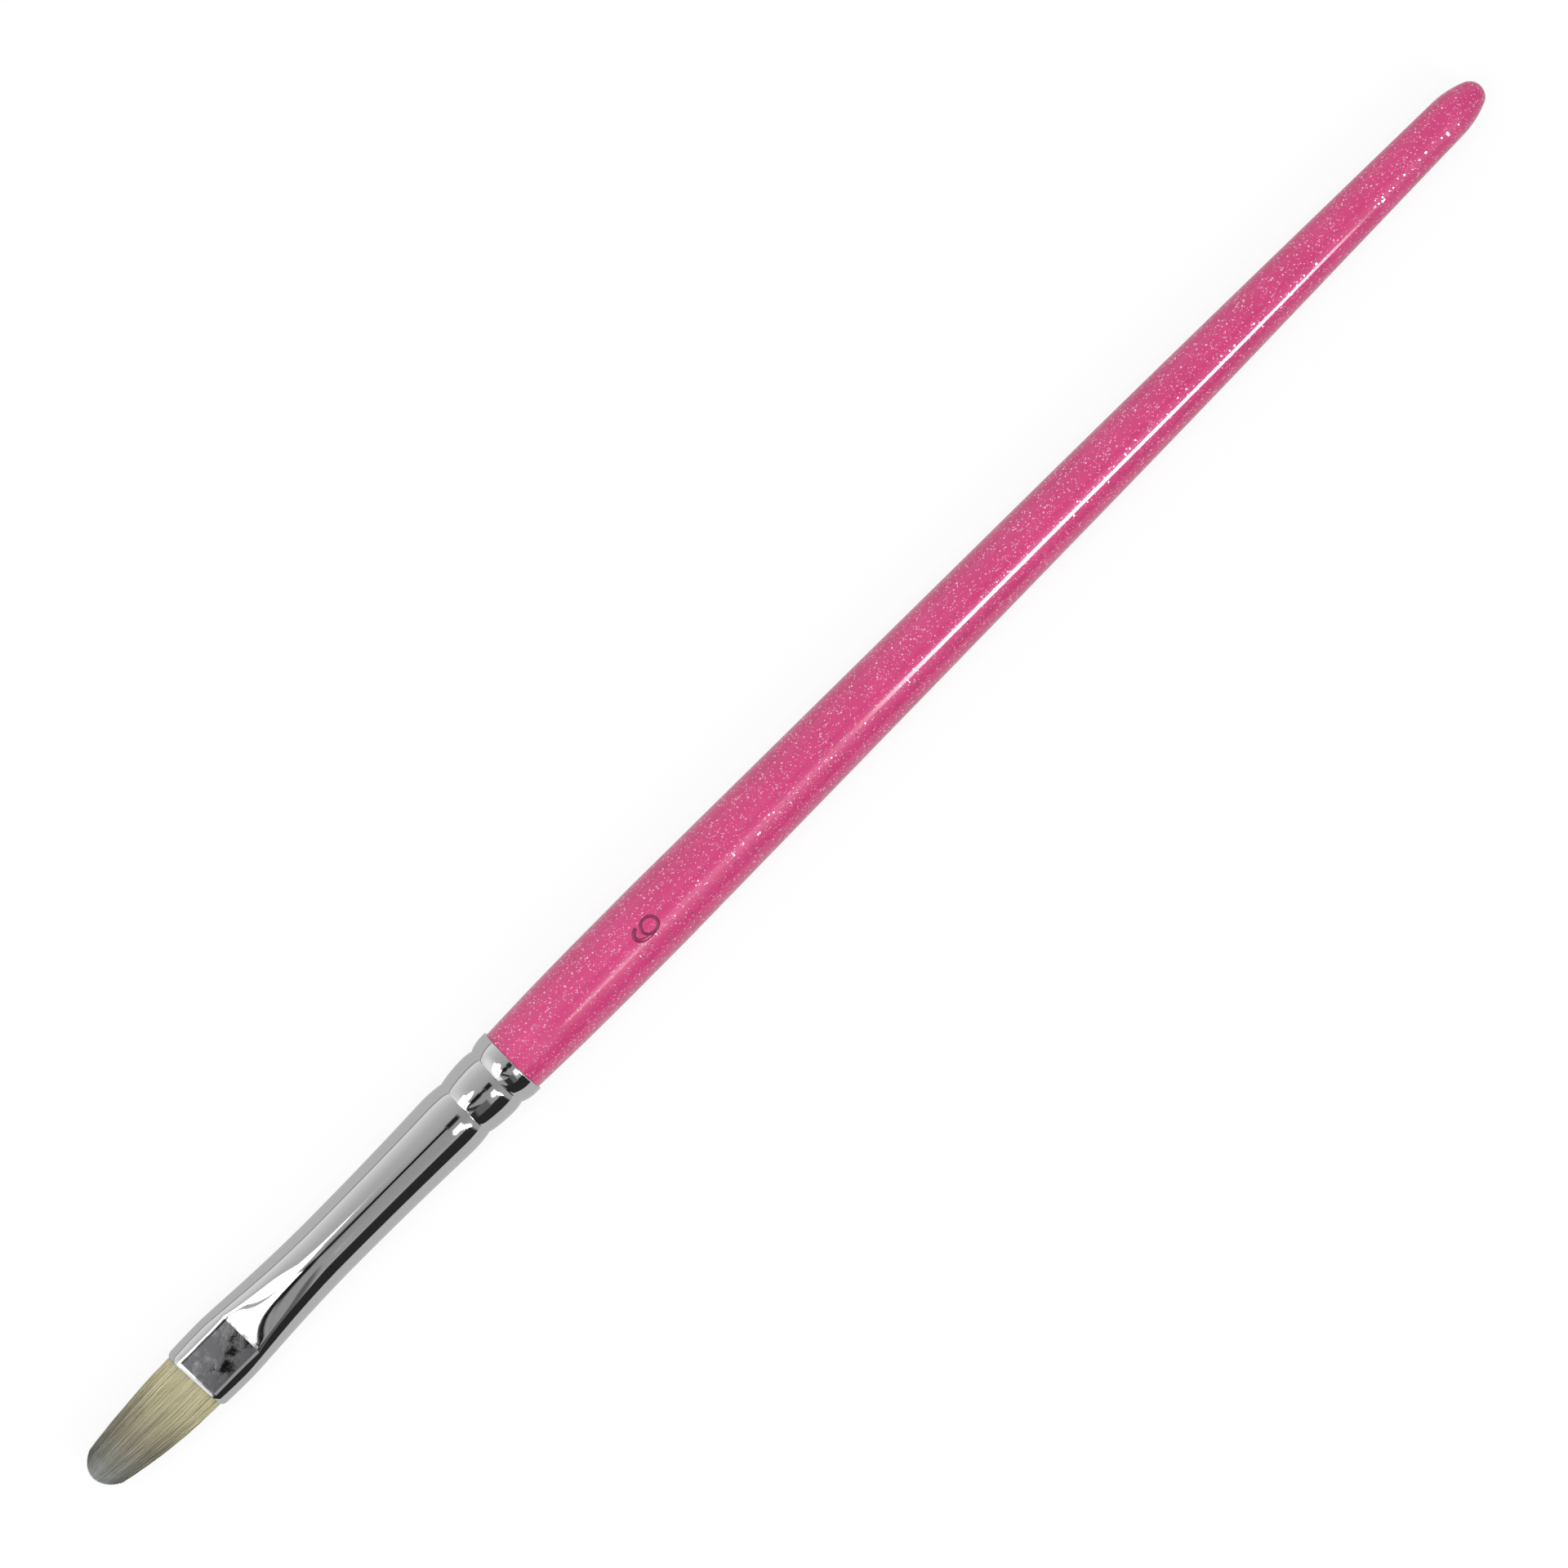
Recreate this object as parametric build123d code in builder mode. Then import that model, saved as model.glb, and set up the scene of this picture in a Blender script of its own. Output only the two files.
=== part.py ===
from build123d import *
from math import cos, radians, sin
import os

# Acrylic nail brush: a hair tuft set in a pinched and crimped metal ferrule, on a turned and
# lacquered wooden handle. The brush lies along X with its tuft towards -X and its flat panels
# facing up and down. The origin is on the resting surface, under the middle of the brush.
# Distances are measured along the brush from the ferrule's mouth, positive towards the handle.
# All sizes are in millimetres.

# ---- Driving dimensions ---------------------------------------------------------------------

# Lengths that add up to the whole brush
tuft_length = 13.0  # hair in front of the ferrule
ferrule_length = 41.2
handle_length = 125.8  # handle behind the ferrule

# Ferrule: one drawn tube, pinched flat at the mouth and crimped on the handle at the rear
wall = 0.22
mouth_width = 6.94
mouth_height = 4.76  # of the oval, before the jaws flatten it
shoulder_width = 7.10
shoulder_height = 4.60  # of the oval, before the jaws flatten it
shoulder_distance = 4.0
waist_diameter = 6.06
waist_distance = 17.7
pinch_bias = 0.68  # below 1 the width drops early and trails off towards the waist
lip_bevel = 0.07
panel_length = 6.1
panel_thickness = 3.80  # across the two flat panels
ramp_clearance = 0.02  # the ramps end this much above the waist
front_crimp_to_rear = 4.05
rear_crimp_to_rim = 2.1
crest_to_front_crimp = 2.65
bead_place = 0.70  # top of the bead, as a share of the way between the crimps
rim_land = 0.5

# Radius gained over the waist, from front to rear
crest_rise = 0.272
front_crimp_rise = 0.09
bead_rise = 0.38
rear_crimp_rise = 0.24
rim_rise = 0.57

# Handle: lacquered wood with a tenon in the ferrule
belly_diameter = 7.20
belly_start = 12.6  # behind the rim
belly_land = 6.4  # straight length of the belly, where a holder grips
bend_diameter = 5.73  # where the long cone behind the belly meets a steeper one
bend_distance = 63.9  # behind the belly
tail_diameter = 4.14
nose_length = 4.5
nose_radius = 1.45
nose_angle = 21.6  # slope of its side where the rounded end begins
lacquer = 0.16
rim_fit = 0.015  # gap between the lacquer and the inside of the rim
crimp_fit = 0.02  # gap between the crimps and the wood
glue_film = 0.06
glue_gap = 0.02  # on both sides of the glue
tenon_gap = 1.4  # air between the root plug and the tenon
tenon_chamfer = 0.40

# Tuft and what holds it
hair_gap = 0.05
tip_width = 3.62  # where the sides aim at the tip, before it is rounded
tip_thickness = 0.80
tip_round = 2.0
thread_diameter = 0.40
thread_groove = 0.14  # how deep the grooves between its turns are
thread_gap = 0.02  # between thread and hair
thread_turns = 5
root_behind_thread = 1.1
plug_length = 4.2
meniscus = 0.60

# ---- Derived values -------------------------------------------------------------------------

waist_radius = waist_diameter / 2
rim_radius = waist_radius + rim_rise
belly_radius = belly_diameter / 2
neck_radius = rim_radius - wall - rim_fit  # handle where it leaves the ferrule, over its lacquer

overall_length = tuft_length + ferrule_length + handle_length
mouth_x = tuft_length - overall_length / 2
axis_z = max(belly_radius, rim_radius, shoulder_width / 2)

rear_crimp = ferrule_length - rear_crimp_to_rim
front_crimp = rear_crimp - front_crimp_to_rear
crest = front_crimp - crest_to_front_crimp
lacquer_start = ferrule_length - rim_land

binding_start = waist_distance
binding_end = binding_start + thread_turns * thread_diameter + 2 * thread_gap
hair_radius = waist_radius - wall - hair_gap
binding_radius = hair_radius - thread_diameter - 2 * thread_gap  # hair under the thread
root_end = binding_end + root_behind_thread
plug_end = root_end + plug_length
tenon_start = plug_end + tenon_gap
glue_start = tenon_start + tenon_chamfer
glue_end = crest  # in front of the crimps, which bite on the wood itself

# Long section through the brush: first coordinate along it, second one up from its axis
long_section = Plane(origin=(mouth_x, 0, axis_z), x_dir=(1, 0, 0), z_dir=(0, -1, 0))
brush_axis = Axis(origin=(mouth_x, 0, axis_z), direction=(1, 0, 0))


def cross_section(distance):
    """Plane across the brush: first coordinate along +Y, second one along +Z."""
    return Plane(origin=(mouth_x + distance, 0, axis_z), x_dir=(0, 1, 0), z_dir=(1, 0, 0))


# ---- The shape of the ferrule ---------------------------------------------------------------


def pinch(distance):
    """How much of the pinch is left: 1 up to the shoulder, then an S-curve to 0 at the waist."""
    share = (distance - shoulder_distance) / (waist_distance - shoulder_distance)
    late = max(0.0, share) ** pinch_bias
    return 1 - late * late * (3 - 2 * late)


def oval(distance):
    """Half width and half height of the drawn tube, before the jaws flatten it."""
    to_mouth = max(0.0, 1 - distance / shoulder_distance) ** 2
    width = shoulder_width + (mouth_width - shoulder_width) * to_mouth
    height = shoulder_height + (mouth_height - shoulder_height) * to_mouth
    left = pinch(distance)
    return (
        waist_radius + (width / 2 - waist_radius) * left,
        waist_radius + (height / 2 - waist_radius) * left,
    )


def front_fill(inset):
    """Solid inside the pinched front of the ferrule, its surface drawn in by inset.

    A loft of ovals from the mouth to the waist, cut by the flat jaws and their ramps.
    """
    to_shoulder = [0, shoulder_distance / 2]
    to_waist = [
        shoulder_distance + (waist_distance - shoulder_distance) * i / 6 for i in range(7)
    ]
    crease = (panel_length, panel_thickness / 2 - inset)
    ramp_end = (waist_distance, waist_radius + ramp_clearance - inset)
    with BuildPart() as fill:
        for distance in to_shoulder + to_waist:
            half_width, half_height = oval(distance)
            with BuildSketch(cross_section(distance)):
                Ellipse(half_width - inset, half_height - inset)
        loft(ruled=True)
        with BuildSketch(long_section):
            with BuildLine():
                Polyline((panel_length, 0), (0, 0), (0, crease[1]), crease)
                TangentArc(ramp_end, crease, tangent=(-1, 0))
                Polyline(ramp_end, (waist_distance, 0), (panel_length, 0))
            make_face()
            mirror(about=Plane.XZ)
        extrude(amount=shoulder_width, both=True, mode=Mode.INTERSECT)
    return fill.part


def rear_half(inset, start, end):
    """Half section inside the turned rear of the ferrule, its outline drawn in by inset.

    From the waist: long flare, crest, crimp, bead, crimp and rim.
    """
    base = waist_radius - inset
    waist = (waist_distance, base)
    crest_top = (crest, base + crest_rise)
    front_valley = (front_crimp, base + front_crimp_rise)
    bead_top = (front_crimp + bead_place * front_crimp_to_rear, base + bead_rise)
    rear_valley = (rear_crimp, base + rear_crimp_rise)
    land = (ferrule_length - rim_land, rim_radius - inset)
    with BuildSketch() as half:
        with BuildLine():
            flare = TangentArc(waist, crest_top, tangent=(1, 0))
            TangentArc(crest_top, front_valley, tangent=flare % 1)
            TangentArc(bead_top, front_valley, tangent=(-1, 0))
            TangentArc(bead_top, rear_valley, tangent=(1, 0))
            TangentArc(land, rear_valley, tangent=(-1, 0))
            Polyline(
                land, (ferrule_length, land[1]), (ferrule_length, 0), (waist_distance, 0), waist
            )
        make_face()
        with Locations((start, 0)):
            Rectangle(
                end - start, rim_radius, align=(Align.MIN, Align.MIN), mode=Mode.INTERSECT
            )
    return half.sketch


with BuildPart() as ferrule:
    add(front_fill(0))
    add(front_fill(wall), mode=Mode.SUBTRACT)
    chamfer(ferrule.faces().sort_by(Axis.X)[0].edges(), min(lip_bevel, 0.45 * wall))
    with BuildSketch(long_section):
        add(rear_half(0, waist_distance, ferrule_length))
        add(rear_half(wall, waist_distance, ferrule_length), mode=Mode.SUBTRACT)
    revolve(axis=brush_axis)
ferrule.part.label = "ferrule"

# ---- Tuft: dressed hair outside, its root packed in the ferrule -------------------------------

hair_inset = wall + hair_gap
hair_width = mouth_width / 2 - hair_inset
hair_height = min(mouth_height, shoulder_height) / 2 - hair_inset
hair_flat = panel_thickness / 2 - hair_inset
body_length = tuft_length - tip_round
nose_angles = (0, 24, 42, 57, 70, 80)
root_flat = hair_radius * hair_flat / hair_height
ramp_length = waist_distance - panel_length


def hair_section(distance, half_width, half_flat):
    """Oval with two flats, in the proportions of the mouth."""
    with BuildSketch(cross_section(distance)) as section:
        Ellipse(half_width, half_flat * hair_height / hair_flat)
        Rectangle(3 * half_width, 2 * half_flat, mode=Mode.INTERSECT)
    return section.sketch


def tuft_section(distance, nose):
    """The hair in front of the mouth, shrinking towards a thin rounded tip."""
    share = distance / tuft_length
    half_width = hair_width - (hair_width - tip_width / 2) * share**2
    half_flat = hair_flat - (hair_flat - tip_thickness / 2) * share**1.4
    return hair_section(-distance, half_width * nose, half_flat * nose)


def root_section(distance):
    """The hair in the pinched ferrule: under its flat panels, then widening with its ramps."""
    share = max(0.0, (distance - panel_length) / ramp_length)
    half_flat = hair_flat + (root_flat - hair_flat) * share
    return hair_section(distance, oval(distance)[0] - hair_inset, half_flat)


ramp_places = [panel_length + ramp_length * share for share in (1, 2 / 3, 1 / 3, 0)]
tuft_sections = [root_section(distance) for distance in (*ramp_places, shoulder_distance)]
tuft_sections += [tuft_section(body_length * i / 6, 1) for i in range(6)]
for angle in nose_angles:
    along_nose = sin(radians(angle)) / sin(radians(nose_angles[-1]))
    tuft_sections.append(tuft_section(body_length + tip_round * along_nose, cos(radians(angle))))

with BuildPart() as tuft:
    loft(sections=tuft_sections, ruled=True)
    with BuildSketch(long_section):
        add(rear_half(hair_inset, waist_distance, root_end))
        with BuildLine():
            depth = hair_radius - binding_radius
            Polyline(
                (binding_start, binding_radius),
                (binding_end, binding_radius),
                (binding_end + 2 * depth, binding_radius + 2 * depth),
                (binding_start - 2 * depth, binding_radius + 2 * depth),
                close=True,
            )
        make_face(mode=Mode.SUBTRACT)
    revolve(axis=brush_axis)
tuft.part.label = "tuft"

with BuildPart() as binding_thread:
    thread_inside = binding_radius + thread_gap
    thread_outside = thread_inside + thread_diameter
    with BuildSketch(long_section):
        for turn in range(thread_turns):
            turn_start = binding_start + thread_gap + turn * thread_diameter
            with BuildLine():
                Polyline(
                    (turn_start, thread_inside),
                    (turn_start, thread_outside - thread_groove),
                    (turn_start + thread_diameter / 2, thread_outside),
                    (turn_start + thread_diameter, thread_outside - thread_groove),
                    (turn_start + thread_diameter, thread_inside),
                    close=True,
                )
            make_face()
    revolve(axis=brush_axis)
binding_thread.part.label = "binding_thread"

# ---- Root plug: the cement that locks the hair, with its sunken surface at the back -----------

with BuildPart() as root_plug:
    with BuildSketch(long_section):
        add(rear_half(wall, root_end, plug_end))
        with BuildLine():
            Polyline(
                (plug_end - meniscus, 0), (plug_end, rim_radius), (plug_end, 0), close=True
            )
        make_face(mode=Mode.SUBTRACT)
    revolve(axis=brush_axis)
root_plug.part.label = "root_plug"

# ---- Handle -----------------------------------------------------------------------------------


def handle_half(inset):
    """Half section of the handle behind the ferrule's skirt, its outline drawn in by inset."""
    neck = (ferrule_length, neck_radius - inset)
    belly_front = (ferrule_length + belly_start, belly_radius - inset)
    belly_back = (belly_front[0] + belly_land, belly_radius - inset)
    bend = (belly_back[0] + bend_distance, bend_diameter / 2 - inset)
    tail = (ferrule_length + handle_length - nose_length, tail_diameter / 2 - inset)
    cap_centre = ferrule_length + handle_length - nose_radius
    cap_radius = nose_radius - inset
    cap_start = (
        cap_centre + cap_radius * sin(radians(nose_angle)),
        cap_radius * cos(radians(nose_angle)),
    )
    with BuildSketch() as half:
        with BuildLine():
            Polyline((lacquer_start, 0), (lacquer_start, neck[1]), neck)
            TangentArc(belly_front, neck, tangent=(-1, 0))
            shank = Polyline(belly_front, belly_back, bend, tail)
            TangentArc(tail, cap_start, tangent=shank % 1)
            CenterArc((cap_centre, 0), cap_radius, 0, 90 - nose_angle)
            Line((cap_centre + cap_radius, 0), (lacquer_start, 0))
        make_face()
    return half.sketch


def tenon_half():
    """Half section of the tenon: room for glue in front, then crushed by the crimps."""
    with BuildSketch() as half:
        add(rear_half(wall + crimp_fit, glue_end, ferrule_length))
        with Locations((glue_end, 0)):
            Rectangle(
                ferrule_length - glue_end,
                neck_radius - lacquer,
                align=(Align.MIN, Align.MIN),
                mode=Mode.INTERSECT,
            )
        add(rear_half(wall + glue_film, tenon_start, glue_end))
    return half.sketch


with BuildPart() as handle_core:
    with BuildSketch(long_section):
        add(tenon_half())
        add(handle_half(lacquer))
    revolve(axis=brush_axis)
    chamfer(handle_core.faces().sort_by(Axis.X)[0].edges(), tenon_chamfer)
handle_core.part.label = "handle_core"

with BuildPart() as lacquer_coat:
    with BuildSketch(long_section):
        add(handle_half(0))
        add(handle_half(lacquer), mode=Mode.SUBTRACT)
    revolve(axis=brush_axis)
lacquer_coat.part.label = "lacquer_coat"

# ---- Glue between the tenon and the ferrule -----------------------------------------------------

with BuildPart() as tenon_glue:
    with BuildSketch(long_section):
        add(rear_half(wall + glue_gap, glue_start, glue_end - glue_gap))
        add(rear_half(wall + glue_film - glue_gap, glue_start, glue_end), mode=Mode.SUBTRACT)
    revolve(axis=brush_axis)
tenon_glue.part.label = "tenon_glue"

# ---- Output -------------------------------------------------------------------------------------

os.makedirs("parts", exist_ok=True)
export_step(ferrule.part, "parts/ferrule.step")
export_step(tuft.part, "parts/tuft.step")
export_step(binding_thread.part, "parts/binding_thread.step")
export_step(root_plug.part, "parts/root_plug.step")
export_step(handle_core.part, "parts/handle_core.step")
export_step(lacquer_coat.part, "parts/lacquer_coat.step")
export_step(tenon_glue.part, "parts/tenon_glue.step")
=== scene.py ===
# %% [markdown]
# # Dressing an acrylic nail brush
#
# A nail technician picks up wet acrylic with this brush: a soft tuft, a pinched metal ferrule
# and a lacquered wooden handle full of glitter. The measured model gives every size and place.
# Here each part gets the surface and the finish that the eye sees. We start by loading the
# measured model, because everything else is placed by it.

# %% Load the measured model
import math

import bpy
import numpy as np
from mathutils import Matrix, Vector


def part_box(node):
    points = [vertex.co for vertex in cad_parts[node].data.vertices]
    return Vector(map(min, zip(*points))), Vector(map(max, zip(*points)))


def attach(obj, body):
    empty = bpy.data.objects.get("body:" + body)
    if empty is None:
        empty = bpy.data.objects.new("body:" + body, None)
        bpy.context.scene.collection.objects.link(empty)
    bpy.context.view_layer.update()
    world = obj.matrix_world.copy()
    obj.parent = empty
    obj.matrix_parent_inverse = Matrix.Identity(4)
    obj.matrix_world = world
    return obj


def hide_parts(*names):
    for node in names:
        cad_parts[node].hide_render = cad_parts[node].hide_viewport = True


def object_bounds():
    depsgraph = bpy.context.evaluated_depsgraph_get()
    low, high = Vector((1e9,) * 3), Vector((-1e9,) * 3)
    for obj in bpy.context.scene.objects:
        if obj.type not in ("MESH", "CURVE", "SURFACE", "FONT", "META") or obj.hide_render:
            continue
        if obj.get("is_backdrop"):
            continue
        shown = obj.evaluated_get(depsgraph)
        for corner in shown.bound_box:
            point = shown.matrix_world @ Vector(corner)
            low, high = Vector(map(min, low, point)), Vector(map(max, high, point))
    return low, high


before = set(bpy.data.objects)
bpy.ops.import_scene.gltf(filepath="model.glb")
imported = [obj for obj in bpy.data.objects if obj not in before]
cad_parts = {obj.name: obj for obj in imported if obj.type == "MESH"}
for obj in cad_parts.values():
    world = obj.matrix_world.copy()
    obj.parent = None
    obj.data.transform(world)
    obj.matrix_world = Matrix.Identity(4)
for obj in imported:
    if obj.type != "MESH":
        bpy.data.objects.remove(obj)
cad_box = [list(map(float, corner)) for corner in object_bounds()]
print("parts:", sorted(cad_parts))
print("box in mm:", [[round(value * 1000, 2) for value in corner] for corner in cad_box])

# %% [markdown]
# ## Where things are
#
# The brush lies along X with its tuft towards -X. All distances below are counted in
# millimetres behind the ferrule's mouth, so one number places a detail on any part. The mouth
# and the axis come from the boxes of the measured parts. The millimetres become metres in one
# helper, `to_metres`, just before a mesh is made.

# %% Places taken from the measured parts
MM = 0.001
ferrule_low, ferrule_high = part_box("ferrule")
coat_low, coat_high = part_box("lacquer_coat")
tuft_low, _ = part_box("tuft")
mouth_x = ferrule_low[0] / MM
axis_z = (ferrule_low[2] + ferrule_high[2]) / 2 / MM
ferrule_length = (ferrule_high[0] - ferrule_low[0]) / MM
handle_end = coat_high[0] / MM - mouth_x
tuft_length = mouth_x - tuft_low[0] / MM


def to_metres(distance, side, up):
    """Points in metres: distance is behind the mouth, side along +Y, up from the brush's axis."""
    parts = np.broadcast_arrays(distance + mouth_x, side, up + axis_z)
    return np.stack(parts, axis=-1) * MM


print("mouth at x =", round(mouth_x, 2), "mm, axis at z =", round(axis_z, 2), "mm")
print("ferrule", round(ferrule_length, 2), "mm long, tuft", round(tuft_length, 2), "mm")

# %% [markdown]
# ## One way to make a skin
#
# Every part here is long and has rings of points around it: a tube, a handle, a printed
# stroke. So one helper turns a stack of rings into a closed mesh. It could be done by
# extruding circles by hand, but a grid of points worked out by a formula is easier to change.
# The quads between neighbouring rings are found with array arithmetic. A tube joins its last
# ring to its first one, and anything else gets a fan of triangles at each end.


# %% The helper that joins rings into a mesh
def ring_quads(count, around, joined):
    """Quads between ring i and ring i+1, facing away from the middle of the rings.

    The point after the last one of a ring is its first, and so with the rings of a tube.
    """
    ring = np.arange(count if joined else count - 1)[:, None]
    point = np.arange(around)[None, :]
    here, there = ring * around, (ring + 1) % count * around
    after = (point + 1) % around
    return np.stack([here + after, there + after, there + point, here + point], -1).reshape(-1, 4)


def add_piece(name, points, faces):
    """A smooth-shaded object at the origin from an array of points and a list of faces."""
    mesh = bpy.data.meshes.new(name)
    mesh.from_pydata(points.reshape(-1, 3).tolist(), [], faces)
    mesh.shade_smooth()
    piece = bpy.data.objects.new(name, mesh)
    bpy.context.scene.collection.objects.link(piece)
    return piece


def volume_mm3(piece):
    """Volume inside the mesh: the sum of a . (b x c) / 6 over its triangles.

    It is negative when the faces point inwards.
    """
    mesh = piece.data
    mesh.calc_loop_triangles()
    corners = np.empty(len(mesh.loop_triangles) * 3, np.int32)
    mesh.loop_triangles.foreach_get("vertices", corners)
    points = np.empty(len(mesh.vertices) * 3)
    mesh.vertices.foreach_get("co", points)
    a, b, c = np.moveaxis(points.reshape(-1, 3)[corners.reshape(-1, 3)], 1, 0)
    return float(np.einsum("ij,ij->i", a, np.cross(b, c)).sum()) / 6 / MM**3


def skin(name, rings, joined=False):
    """A closed mesh from rings of points, an array of shape (rings, around, 3) in metres.

    The rings run towards +X and their points turn from +Y to +Z, so that the faces point out.
    """
    count, around = rings.shape[:2]
    faces = ring_quads(count, around, joined).tolist()
    points = rings.reshape(-1, 3)
    if not joined:
        step = np.arange(around)
        after = (step + 1) % around
        last = (count - 1) * around
        front_middle, back_middle = np.full((2, around), count * around) + [[0], [1]]
        faces += np.stack([after, step, front_middle], -1).tolist()
        faces += np.stack([last + step, last + after, back_middle], -1).tolist()
        points = np.concatenate([points, [rings[0].mean(0), rings[-1].mean(0)]])
    return add_piece(name, points, faces)


print("helpers for skins are ready")

# %% [markdown]
# ## A short way to write a material
#
# Materials and the world are trees of nodes. Drawing them by hand in the node editor is fine
# for one, but here a few lines of code are easier to read and to change. A `Recipe` is called
# once for each node, with the sockets that feed it, and gives back the new node.


# %% The node helper
class Recipe:
    """A short way to write a node tree: each call adds one node and joins what it is given."""

    def __init__(self, tree):
        self.tree = tree
        tree.nodes.clear()

    def __call__(self, kind, settings=None, **inputs):
        """Inputs are named as on the node, with _ for a space, or i0, i1 for their order."""
        node = self.tree.nodes.new(kind)
        for key, value in (settings or {}).items():
            setattr(node, key, value)
        for key, value in inputs.items():
            socket = node.inputs[int(key[1:]) if key[1:].isdigit() else key.replace("_", " ")]
            if isinstance(value, bpy.types.NodeSocket):
                self.tree.links.new(value, socket)
            else:
                socket.default_value = value
        return node

    def math(self, operation, *values):
        """The result of a Math node, where each value is a number or a socket."""
        inputs = {f"i{order}": value for order, value in enumerate(values)}
        return self("ShaderNodeMath", {"operation": operation}, **inputs).outputs[0]

    def vector(self, operation, *values, **inputs):
        """The result of a Vector Math node, where each value is a vector or a socket."""
        inputs.update({f"i{order}": value for order, value in enumerate(values)})
        return self("ShaderNodeVectorMath", {"operation": operation}, **inputs).outputs[0]

    def every(self, *masks):
        """The product of several masks: 1 only where each of them is 1."""
        product = masks[0]
        for mask in masks[1:]:
            product = self.math("MULTIPLY", product, mask)
        return product

    def mix(self, mask, under, over):
        """The colour under, and the colour over laid on it where the mask is 1."""
        if isinstance(over, tuple):
            over = (*over, 1)
        return self("ShaderNodeMix", {"data_type": "RGBA"}, i0=mask, i6=under, i7=over).outputs[2]

    def fade(self, value, start, end):
        """0 up to start, 1 from end on, smooth between; it falls where start is above end."""
        low, high = min(start, end), max(start, end)
        rising = end > start
        return self("ShaderNodeMapRange", {"interpolation_type": "SMOOTHSTEP"}, Value=value,
                    From_Min=low, From_Max=high, To_Min=float(not rising),
                    To_Max=float(rising)).outputs[0]

    def ramp(self, factor, stops):
        """The colour of a ColorRamp; each stop is (place, grey) or (place, (r, g, b))."""
        node = self("ShaderNodeValToRGB", Fac=factor)
        bar = node.color_ramp
        while len(bar.elements) < len(stops):
            bar.elements.new(0.5)
        for element, (place, colour) in zip(bar.elements, stops):
            element.position = place
            element.color = (*colour, 1) if isinstance(colour, tuple) else (colour,) * 3 + (1,)
        return node.outputs[0]


def new_material(name):
    """An empty material and the recipe that fills it."""
    material = bpy.data.materials.new(name)
    material.use_nodes = True
    return material, Recipe(material.node_tree)


print("recipes for nodes are ready")

# %% [markdown]
# ## A studio to reflect
#
# Polished metal has no look of its own: it shows the room. So the room comes first. The world
# shader paints a quiet studio in two coordinates of a direction: how far it turns from straight
# up, seen along the brush, and how far it points along the brush. Bands of turn come first:
# the pale walls, a black card low on the -Y side and the ceiling. An environment picture would
# do the same, but bands can be moved and named.

# %% Paint the walls of the studio
scene = bpy.context.scene
scene.view_settings.view_transform = "Standard"
world = bpy.data.worlds.new("studio")
scene.world = world
world.use_nodes = True
add = Recipe(world.node_tree)
direction = add("ShaderNodeSeparateXYZ", Vector=add("ShaderNodeTexCoord").outputs["Generated"])
along = direction.outputs["X"]
turn = add.math("ARCTAN2", direction.outputs["Y"], direction.outputs["Z"])
turn = add.math("DEGREES", turn)
# (degrees from straight up, positive towards +Y; brightness)
studio_bands = [
    (-180, 0.60), (-93, 0.60), (-90, 0.03), (-52, 0.03), (-50, 0.50), (-38, 0.42), (-14, 0.40),
    (-1, 0.44), (20, 0.53), (41, 0.60), (55, 0.70), (67, 0.78), (78, 0.92), (86, 0.95),
    (87, 0.30), (93, 0.30), (94, 0.65), (180, 0.60),
]
share = add.math("MULTIPLY_ADD", turn, 1 / 360, 0.5)
light = add.ramp(share, [((angle + 180) / 360, grey) for angle, grey in studio_bands])
print("studio with", len(studio_bands), "stops around the brush")

# %% [markdown]
# ## Panes in the studio
#
# Panes are laid over the bands: pale walls at both ends, black flags beyond the tuft, a softbox
# and two bright tubes for the handle's long highlight, and the dark camera straight above with
# its arm. Lamps could do this, but a painted pane has clean edges and no noise. In the end the
# camera is given a white backdrop, which nothing else sees.


# %% Lay the panes over the walls
def pane(low, high, turn_low, turn_high, soft=0.012, soft_turn=1.2, slant=0.0, drift=0.0):
    """1 inside a pane of directions and 0 outside, with soft edges.

    It reaches from low to high along the brush and from turn_low to turn_high around it. Its
    ends shift by slant for each degree of turn, and its turn by -drift for each unit along.
    """
    level = add.math("MULTIPLY_ADD", turn, -slant, along)
    turned = add.math("MULTIPLY_ADD", along, drift, turn)
    return add.every(
        add.fade(level, low - soft, low + soft),
        add.fade(level, high + soft, high - soft),
        add.fade(turned, turn_low - soft_turn, turn_low + soft_turn),
        add.fade(turned, turn_high + soft_turn, turn_high - soft_turn),
    )


# (name, brightness, where it is); a later pane covers an earlier one
panes = [
    ("soft end wall", 1.05, pane(-1.1, -0.38, 14, 72, 0.18, 7)),
    ("end wall", 1.2, pane(-1.1, -0.60, -22, 24, 0.05, 4)),
    ("back wall", 0.45, pane(0.14, 1.1, -100, -46, 0.03, 3)),
    ("flag", 0.05, pane(-0.62, -0.50, -28, -6.0, slant=-0.0094)),
    ("dim flag", 0.16, pane(-0.40, -0.16, -54, -28, 0.02, 2)),
    ("low flag", 0.04, pane(-0.62, -0.36, -54, -28, 0.03)),
    ("softbox", 1.6, pane(-0.07, 0.11, -41, -22)),
    ("dim tube", 4.5, pane(-0.085, -0.03, -37, -29, 0.008, 2.0)),
    ("bright tube", 30.0, pane(0.048, 0.15, -33.0, -20.5, 0.015, 1.5, drift=170)),
    ("camera", 0.02, pane(-0.10, 0.16, -10, 5, 0.04, 3.0)),
    ("lens", 0.02, pane(-0.34, -0.165, -9, 4, 0.03, 3.0)),
    ("arm", 0.01, pane(-0.50, -0.16, -5.6, 0.2, 0.02, 0.6)),
    ("boom", 0.01, pane(-0.18, -0.09, -6.2, 0.8, 0.01, 0.7)),
]
backdrop = (0.97, 0.97, 0.97)
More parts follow.
